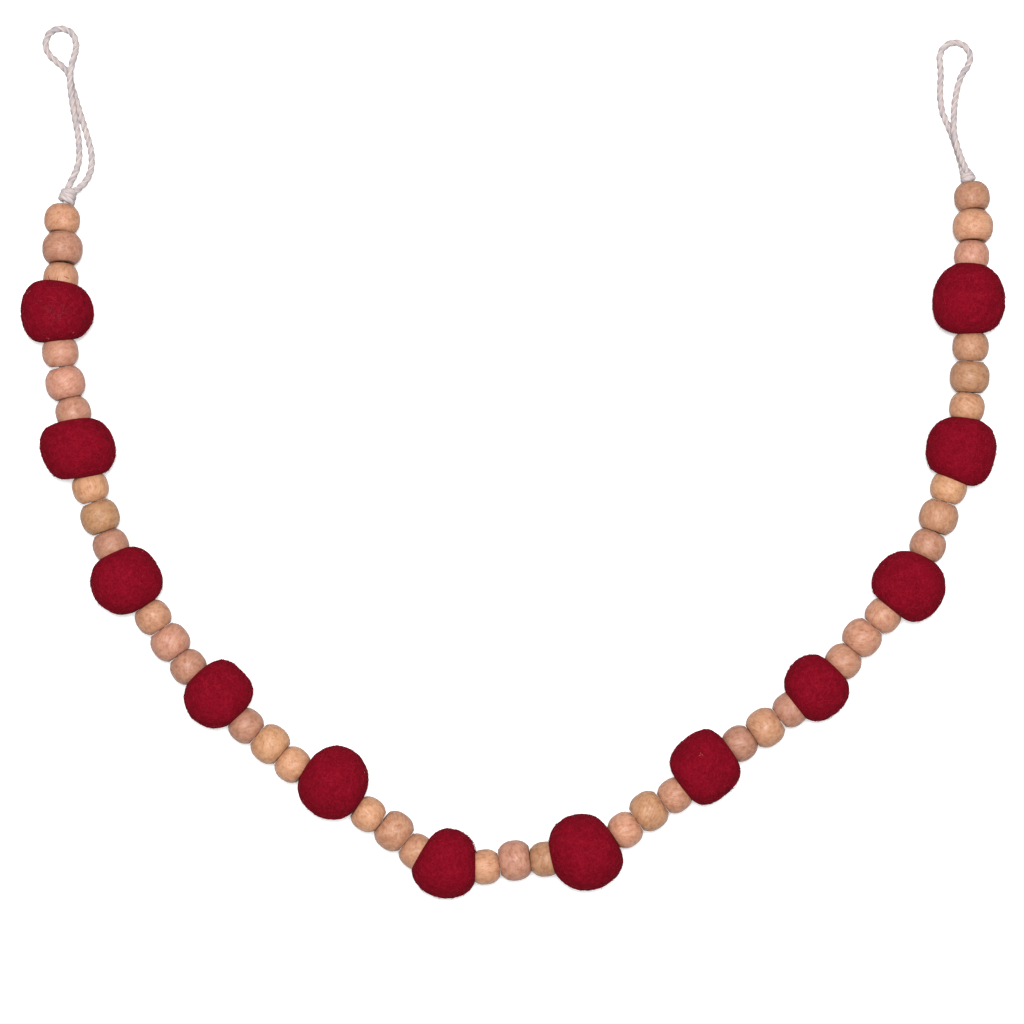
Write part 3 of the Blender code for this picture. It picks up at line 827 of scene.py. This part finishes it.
def beadRows(kind):
    kind = dict(kind, along=kind["along"] + beadTurning["closeUp"])
    half, edge, hole = kind["along"] / 2, beadTurning["edge"], beadTurning["holeRadius"]
    rim = profileRadius(kind, half - edge)
    ahead = [(half - edge * 0.38, rim - edge * 0.42), (half - edge * 0.08, rim - edge),
             (half, rim - edge * 1.9), (half, hole + 0.45), (half - 0.3, hole)]
    back = [(-along, radius) for along, radius in reversed(ahead)]
    count = beadTurning["outerRows"]
    outer = []
    for i in range(count):
        along = -(half - edge) + 2 * (half - edge) * i / (count - 1)
        outer.append((along, profileRadius(kind, along)))
    return back + outer + ahead


def turnBead(name, kind):
    rows = beadRows(kind)
    bpy.ops.object.select_all(action="DESELECT")
    along, radius = rows[0]
    bpy.ops.mesh.primitive_circle_add(vertices=beadTurning["sides"], radius=radius * mm,
                                      location=(0, 0, along * mm))
    bead = bpy.context.object
    bead.name = name
    bpy.ops.object.transform_apply(location=True)
    bpy.ops.object.mode_set(mode="EDIT")
    bpy.ops.mesh.select_all(action="SELECT")
    for nextAlong, nextRadius in rows[1:]:
        bpy.ops.mesh.extrude_edges_move(
            TRANSFORM_OT_translate={"value": (0, 0, (nextAlong - along) * mm)})
        scale = nextRadius / radius
        bpy.ops.transform.resize(value=(scale, scale, 1), center_override=(0, 0, nextAlong * mm))
        along, radius = nextAlong, nextRadius
    bpy.ops.mesh.select_all(action="DESELECT")
    bpy.ops.mesh.select_non_manifold()
    bpy.ops.mesh.bridge_edge_loops()  # the wall of the hole
    bpy.ops.mesh.select_all(action="SELECT")
    bpy.ops.mesh.normals_make_consistent(inside=False)
    bpy.ops.object.mode_set(mode="OBJECT")
    bpy.ops.object.shade_smooth()
    return bead


def strungBead(name, pattern, kind, place, number, node):
    mesh = pattern.data.copy()
    mesh.name = name
    dice = random.Random(100 + number)
    size = 1 + beadTurning["variation"] * math.sin(beadTurning["variationStep"] * number)
    half, belly = kind["along"] / 2, kind["across"] / 2
    turned = Matrix.Rotation(dice.uniform(0, 2 * math.pi), 3, "Z")
    grainTurn = (Matrix.Rotation(dice.uniform(0, 2 * math.pi), 3, "Z")
                 @ Matrix.Rotation(dice.uniform(0.2, 1.4), 3, "X"))
    shift = Vector((dice.uniform(-50, 50), dice.uniform(-50, 50), dice.uniform(-50, 50)))
    endShadeStart = beadTurning["endShadeStart"]
    grain, rim = [], []
    for vertex in mesh.vertices:
        local = vertex.co / mm
        grain.append(grainTurn @ local + shift)
        away = abs(local.z) / half
        radius = math.hypot(local.x, local.y)
        # painted shade: darker towards the ends where the beads meet, and full on the faces round the
        # hole and in the hole
        inEndShade = max(0.0, (away - endShadeStart) / (1 - endShadeStart)) ** beadTurning["endShadePower"]
        rim.append(inEndShade if radius > belly * 0.5 else 1.0)
        lump = 1 + beadTurning["lumpHeight"] * noise.noise(local * beadTurning["lumpScale"] + shift)
        vertex.co = turned @ Vector((local.x * size * lump, local.y * size * lump, local.z)) * mm
    centre, forward, outward, upward = route.frame(place)
    matrix = Matrix((upward, outward, forward)).transposed().to_4x4()
    matrix.translation = centre * mm
    mesh.transform(matrix)
    setPointValues(mesh, "grain", "FLOAT_VECTOR", grain)
    setPointValues(mesh, "rim", "FLOAT", rim)
    lightness = dice.uniform(*woodLook["lightness"])
    yellowness = dice.uniform(*woodLook["yellowness"])
    tint = (1.0, 1 + yellowness / 2, 1 - yellowness)
    seen = zip(toLinear(*woodLook["color"]), woodLook["lightShare"], tint)
    tone = [value * share * part * lightness for value, share, part in seen] + [1.0]
    setPointValues(mesh, "tone", "FLOAT_COLOR", [tone] * len(mesh.vertices))
    bead = newPiece(name, mesh)
    dress(bead, wood, [node])
    return bead


print("wood beads")
sidePattern = turnBead("sideBeadPattern", sideBead)
middlePattern = turnBead("middleBeadPattern", middleBead)
number = 0
for i in range(len(groups)):
    for part, place in zip(("first", "middle", "last"), beadPlaces[i]):
        kind = middleBead if part == "middle" else sideBead
        pattern = middlePattern if part == "middle" else sidePattern
        strungBead(f"woodBead_{i + 1:02d}_{part}", pattern, kind, place, number,
                   f"bead_{i + 1:02d}_{part}")
        number += 1
for pattern in (sidePattern, middlePattern):
    bpy.data.objects.remove(pattern, do_unlink=True)


# felt balls

feltShape = {
    "segments": 144,
    "rows": 96,
    "holeRadius": 1.75,
    "holeRows": 10,
    "clearance": 0.12,
    "lipRound": 0.9,
    "bendReach": 9.0,
    "lumps": ((5.2, 0.20), (2.2, 0.15), (0.95, 0.11)),  # size and height of each relief
    "fibres": 520,
    "strays": 190,
}
feltMarkKinds = (("wisp", "FLOAT"), ("speck", "FLOAT"), ("pale", "FLOAT"))
lyingFibre = {"steps": 7, "length": (2.2, 5.0), "curl": 0.9, "sink": -0.03, "rise": 0.07,
              "lift": (0.0, 0.06), "width": 0.085}
strayFibre = {"steps": 7, "length": (1.6, 3.6), "curl": 1.2, "sink": -0.03, "rise": 0.10,
              "lift": (0.2, 1.0), "width": 0.065}


shortFibre = {"steps": 5, "length": (0.6, 1.4), "curl": 1.2, "sink": -0.02, "rise": 0.10,
              "lift": (0.0, 0.1), "width": 0.09}
tuftFibre = {"steps": 6, "length": (1.0, 2.6), "curl": 1.4, "sink": -0.05, "rise": 0.15,
             "lift": (0.4, 1.5), "width": 0.12}
curlFibre = {"steps": 9, "length": (2.0, 5.5), "curl": 1.7, "sink": -0.03, "rise": 0.12,
             "lift": (0.0, 0.1), "width": 0.09}
# seeds caught in the felt, pale tufts and loose wool, each at a place on its ball
feltMarks = [
    dict(ball=1, place=(-180.7, 98.5, 22), style=shortFibre, amount=7, spread=0.35, speck=0.95),
    dict(ball=1, place=(-180.7, 90.5, 22), style=shortFibre, amount=7, spread=0.35, speck=0.9),
    dict(ball=1, place=(-203.1, 101.9, 22), style=shortFibre, amount=4, spread=0.25, pale=0.9),
    dict(ball=1, place=(-196.2, 85.4, 22), style=shortFibre, amount=3, spread=0.25, pale=0.8),
    dict(ball=1, place=(-186.5, 86.0, 22), style=shortFibre, amount=3, spread=0.2, pale=0.7),
    dict(ball=1, place=(-193.4, 93.4, 31), style=curlFibre, amount=60, spread=4.8, pale=0.11),
    dict(ball=6, place=(-18.2, -130.0, 15), style=tuftFibre, amount=34, spread=1.5, pale=0.02),
    dict(ball=6, place=(-15.4, -134.0, 15), style=tuftFibre, amount=22, spread=1.3, pale=0.02),
    dict(ball=8, place=(79.4, -92.0, 27), style=shortFibre, amount=3, spread=0.2, pale=0.8),
    dict(ball=12, place=(206.7, 101.0, 18), style=shortFibre, amount=4, spread=0.3, pale=0.9),
    dict(ball=12, place=(205.0, 103.5, 24), style=shortFibre, amount=9, spread=0.8, speck=0.45),
]


def rollBall():
    # a sphere with its poles on the cord, opened there and joined through the middle
    bpy.ops.object.select_all(action="DESELECT")
    bpy.ops.mesh.primitive_uv_sphere_add(segments=feltShape["segments"],
                                         ring_count=feltShape["rows"], radius=1)
    ball = bpy.context.object
    ball.name = "ballPattern"
    bpy.ops.object.mode_set(mode="EDIT")
    bpy.ops.mesh.select_mode(type="VERT")
    bpy.ops.mesh.select_all(action="DESELECT")
    bpy.ops.object.mode_set(mode="OBJECT")
    for vertex in ball.data.vertices:
        vertex.select = abs(vertex.co.z) > 0.9999
    bpy.ops.object.mode_set(mode="EDIT")
    bpy.ops.mesh.delete(type="VERT")
    bpy.ops.mesh.select_all(action="DESELECT")
    bpy.ops.mesh.select_non_manifold()
    bpy.ops.mesh.bridge_edge_loops(number_cuts=feltShape["holeRows"], interpolation="LINEAR")
    bpy.ops.mesh.select_all(action="SELECT")
    bpy.ops.mesh.normals_make_consistent(inside=False)
    bpy.ops.object.mode_set(mode="OBJECT")
    bpy.ops.object.shade_smooth()
    return ball


def ballRadius(ball, fromAhead, around):
    # the eight radii of the outline joined by a smooth closed curve, mixed round the cord
    outline = np.array(list(ball["outSide"]) + list(ball["inSide"])[3:0:-1])

    def read(angle):
        place = angle / (math.pi / 4)
        index = np.floor(place).astype(int)
        t = place - index
        before, start, end, after = (outline[(index + step) % 8] for step in (-1, 0, 1, 2))
        return 0.5 * (2 * start + (end - before) * t
                      + (2 * before - 5 * start + 4 * end - after) * t ** 2
                      + (3 * start - before - 3 * end + after) * t ** 3)

    share = (1 + np.cos(around)) / 2
    squash = 1 - (1 - layout["squash"]) * np.sin(around) ** 2 * np.sin(fromAhead)
    return (read(fromAhead) * share + read(2 * math.pi - fromAhead) * (1 - share)) * squash


def insideBall(ball, along, outward, upward):
    outward = outward - ball["offset"]
    distance = np.sqrt(along ** 2 + outward ** 2 + upward ** 2)
    fromAhead = np.arccos(np.clip(along / np.maximum(distance, 1e-6), -1, 1))
    return distance < ballRadius(ball, fromAhead, np.arctan2(upward, outward))


def bendAlong(place):
    # turns along, outward and upward near a place on the cord into points
    steps = np.arange(-24, 24.5, 0.5)
    frames = []
    for step in steps:
        forward = route.tangent(place + step, feltShape["bendReach"])
        outward = forward.cross(Vector((0, 0, 1))).normalized()
        frames.append((route.at(place + step), outward, outward.cross(forward).normalized()))
    tables = [np.array([row[index] for row in frames]) for index in range(3)]

    def read(table, along):
        return np.stack([np.interp(along, steps, table[:, axis]) for axis in range(3)], axis=1)

    def bend(along, outward, upward):
        return (read(tables[0], along) + read(tables[1], along) * outward[:, None]
                + read(tables[2], along) * upward[:, None])

    return bend


def insideBead(points, beadPlace, sign):
    # the space a side bead needs, open away from the ball
    centre, forward, _, _ = route.frame(beadPlace)
    away = points - np.array(centre)
    along = away @ np.array(forward)
    radius = np.sqrt(np.maximum((away ** 2).sum(axis=1) - along ** 2, 0))
    half, belly = sideBead["along"] / 2, sideBead["across"] / 2
    beyond = along * sign
    share = np.clip(-beyond / half, 0, 1) ** beadTurning["fullness"]
    wall = belly * np.sqrt(1 - share * (1 - beadTurning["faceShare"] ** 2)) + feltShape["clearance"]
    return (beyond > -half - feltShape["clearance"]) & (radius < wall)


def findEdge(test, low, high):
    for _ in range(18):
        middle = (low + high) / 2
        inside = test(middle)
        low, high = np.where(inside, low, middle), np.where(inside, middle, high)
    return high


def shapeBall(mesh, ball, place, backBead, aheadBead):
    count = len(mesh.vertices)
    start = np.empty(count * 3, dtype=np.float32)
    mesh.vertices.foreach_get("co", start)
    start = start.reshape(-1, 3).astype(float)
    length = np.linalg.norm(start, axis=1)
    inHole = length < 0.999
    polar = np.arccos(np.clip(start[:, 2] / length, -1, 1))
    around = np.arctan2(start[:, 0], start[:, 1])
    firstRow = math.pi / feltShape["rows"]
    bend = bendAlong(place)
    aheadFace = aheadBead - place - sideBead["along"] / 2
    backFace = place - backBead - sideBead["along"] / 2
    aheadRim = math.atan2(feltShape["holeRadius"], aheadFace)
    backRim = math.atan2(feltShape["holeRadius"], backFace)
    polar = aheadRim + (polar - firstRow) * (math.pi - aheadRim - backRim) / (math.pi - 2 * firstRow)
    along = np.cos(polar)
    outward, upward = np.sin(polar) * np.cos(around), np.sin(polar) * np.sin(around)
    full = np.full(count, 30.0)
    outer = findEdge(lambda r: ~insideBall(ball, along * r, outward * r, upward * r), full * 0, full)
    result = outer.copy()
    roundness = feltShape["lipRound"]
    for beadPlace, sign in ((aheadBead, 1), (backBead, -1)):
        def pocket(r):
            return insideBead(bend(along * r, outward * r, upward * r), beadPlace, sign)
        reach = outer + roundness
        hit = pocket(reach)
        entry = np.where(hit, findEdge(pocket, full * 0, reach), reach)
        overlap = np.maximum(roundness - np.abs(result - entry), 0) / roundness
        result = np.minimum(result, entry) - overlap ** 2 * roundness / 4
    onFelt = np.hypot(outward, upward) * result
    localAlong = along * result
    radius = onFelt.copy()
    holeShare = start[:, 2] / math.cos(firstRow)
    localAlong[inHole] = (aheadFace * (1 + holeShare[inHole]) - backFace * (1 - holeShare[inHole])) / 2
    radius[inHole] = feltShape["holeRadius"]
    points = bend(localAlong, radius * np.cos(around), radius * np.sin(around))
    centre, _, outwardWay, _ = route.frame(place)
    middle = np.array(centre + outwardWay * ball["offset"])
    away = points - middle
    away /= np.linalg.norm(away, axis=1)[:, None]
    relief = np.zeros(count)
    loose = np.clip((radius - 8.0) / 1.5, 0, 1)
    for index in np.nonzero(loose > 0)[0]:
        spot = Vector(points[index])
        relief[index] = sum(height * noise.noise(spot / size) for size, height in feltShape["lumps"])
    points += away * (relief * loose)[:, None]
    points[:, 2] = np.maximum(points[:, 2], 0)
    mesh.vertices.foreach_set("co", (points * mm).astype(np.float32).ravel())
    mesh.update()
    return Vector(middle), away


def addFelting(piece, middle, place, ballNumber):
    dice = random.Random(200 + ballNumber)
    surface = surfaceOf(piece)
    _, forward, _, _ = route.frame(place)
    strands, marks = [], []
    for style, amount in ((lyingFibre, feltShape["fibres"]), (strayFibre, feltShape["strays"])):
        made = 0
        for _ in range(amount * 5):
            if made == amount:
                break
            way = Vector((dice.gauss(0, 1), dice.gauss(0, 1), dice.gauss(0, 1))).normalized()
            point, normal, _, _ = surface.ray_cast(middle + way * 40, -way)
            if point is None or point.z < 0.3:
                continue
            line = walkFibre(surface, point, normal, dice, style)
            cleared = all((p - middle - forward * (p - middle).dot(forward)).length > 9.0
                          and p.z > 0.05 for p in line)
            if not cleared or len(line) < style["steps"]:
                continue
            strands.append((line, style["width"] * dice.uniform(0.7, 1.4)))
            marks.append({"wisp": dice.uniform(0.15, 1.0), "speck": 0.0, "pale": 0.0})
            made += 1
    for mark in feltMarks:
        if mark["ball"] != ballNumber:
            continue
        for _ in range(mark["amount"]):
            near = Vector([value + dice.gauss(0, mark["spread"]) for value in mark["place"]])
            point, normal, _, _ = surface.find_nearest(near)
            line = walkFibre(surface, point, normal, dice, mark["style"])
            strands.append((line, mark["style"]["width"]))
            marks.append({"wisp": 0.3, "speck": mark.get("speck", 0.0), "pale": mark.get("pale", 0.0)})
    print(f"  {piece.name}: {len(strands)} fibres")
    fluff = fibreMesh("fluff", strands, feltMarkKinds, marks)
    selectOnly(piece)
    fluff.select_set(True)
    bpy.ops.object.join()


print("felt balls")
ballPattern = rollBall()
for i, ball in enumerate(balls):
    name = f"feltBall_{i + 1:02d}"
    mesh = ballPattern.data.copy()
    mesh.name = name
    place = route.markOf(4 + 4 * i)
    middle, _ = shapeBall(mesh, ball, place, beadPlaces[i][2], beadPlaces[i + 1][0])
    for kind, field in feltMarkKinds:
        setPointValues(mesh, kind, field, [0.0] * len(mesh.vertices))
    piece = newPiece(name, mesh)
    addFelting(piece, middle, place, i + 1)
    dress(piece, felt, [f"felt_ball_{i + 1:02d}"])
bpy.data.objects.remove(ballPattern, do_unlink=True)


# a few loose hairs of red wool that lie across the bead beside the first ball

print("loose wool")
looseWool = {"bead": "woodBead_01_last", "starts": ((-194.6, 108.2, 18), (-193.4, 106.6, 18),
                                                     (-191.4, 109.6, 18), (-195.2, 106.4, 18)),
             "steps": 8, "length": (2.6, 4.6), "curl": 0.35, "sink": 0.03, "rise": 0.08,
             "lift": (0.0, 0.15), "width": 0.14, "seed": 7}
dice = random.Random(looseWool["seed"])
beadSurface = surfaceOf(bpy.data.objects[looseWool["bead"]])
strands = []
for start in looseWool["starts"]:
    point, normal, _, _ = beadSurface.find_nearest(Vector(start))
    strands.append((walkFibre(beadSurface, point, normal, dice, looseWool), looseWool["width"]))
wool = fibreMesh("looseWool", strands, feltMarkKinds,
                 [{"wisp": 0.5, "speck": 0.0, "pale": 0.0}] * len(strands))
dress(wool, felt)


# floor and light

print("floor and light")
studio = {"floorSize": 4.0, "floorColor": (0.92, 0.92, 0.92, 1.0), "lightPlace": (0.0, 0.15, 1.27),
          "lightPower": 21.0, "lightSize": 0.36, "sky": 0.30, "floorGlow": 0.35}

bpy.ops.object.select_all(action="DESELECT")
bpy.ops.mesh.primitive_plane_add(size=studio["floorSize"], location=(0, 0, -0.0002))
floor = bpy.context.object
floor.name = "floor"
floor.visible_diffuse = False  # a white floor would throw too much light back up on the sides
floorFinish, _, floorShader = startMaterial("paleFloor")
floorShader.inputs["Base Color"].default_value = studio["floorColor"]
floorShader.inputs["Roughness"].default_value = 0.9
floorShader.inputs["Specular IOR Level"].default_value = 0.0
floorShader.inputs["Emission Color"].default_value = (1, 1, 1, 1)
floorShader.inputs["Emission Strength"].default_value = studio["floorGlow"]
floor.data.materials.append(floorFinish)

lightData = bpy.data.lights.new("softLight", "AREA")
lightData.shape = "DISK"
lightData.size = studio["lightSize"]
lightData.energy = studio["lightPower"]
light = newPiece("softLight", lightData)
light.location = studio["lightPlace"]
light.rotation_euler = (-Vector(studio["lightPlace"])).to_track_quat("-Z", "Y").to_euler()

world = bpy.data.worlds.new("studio")
world.use_nodes = True
world.node_tree.nodes["Background"].inputs[0].default_value = (1, 1, 1, 1)
world.node_tree.nodes["Background"].inputs[1].default_value = studio["sky"]
bpy.context.scene.world = world
bpy.context.scene.view_settings.view_transform = "Standard"
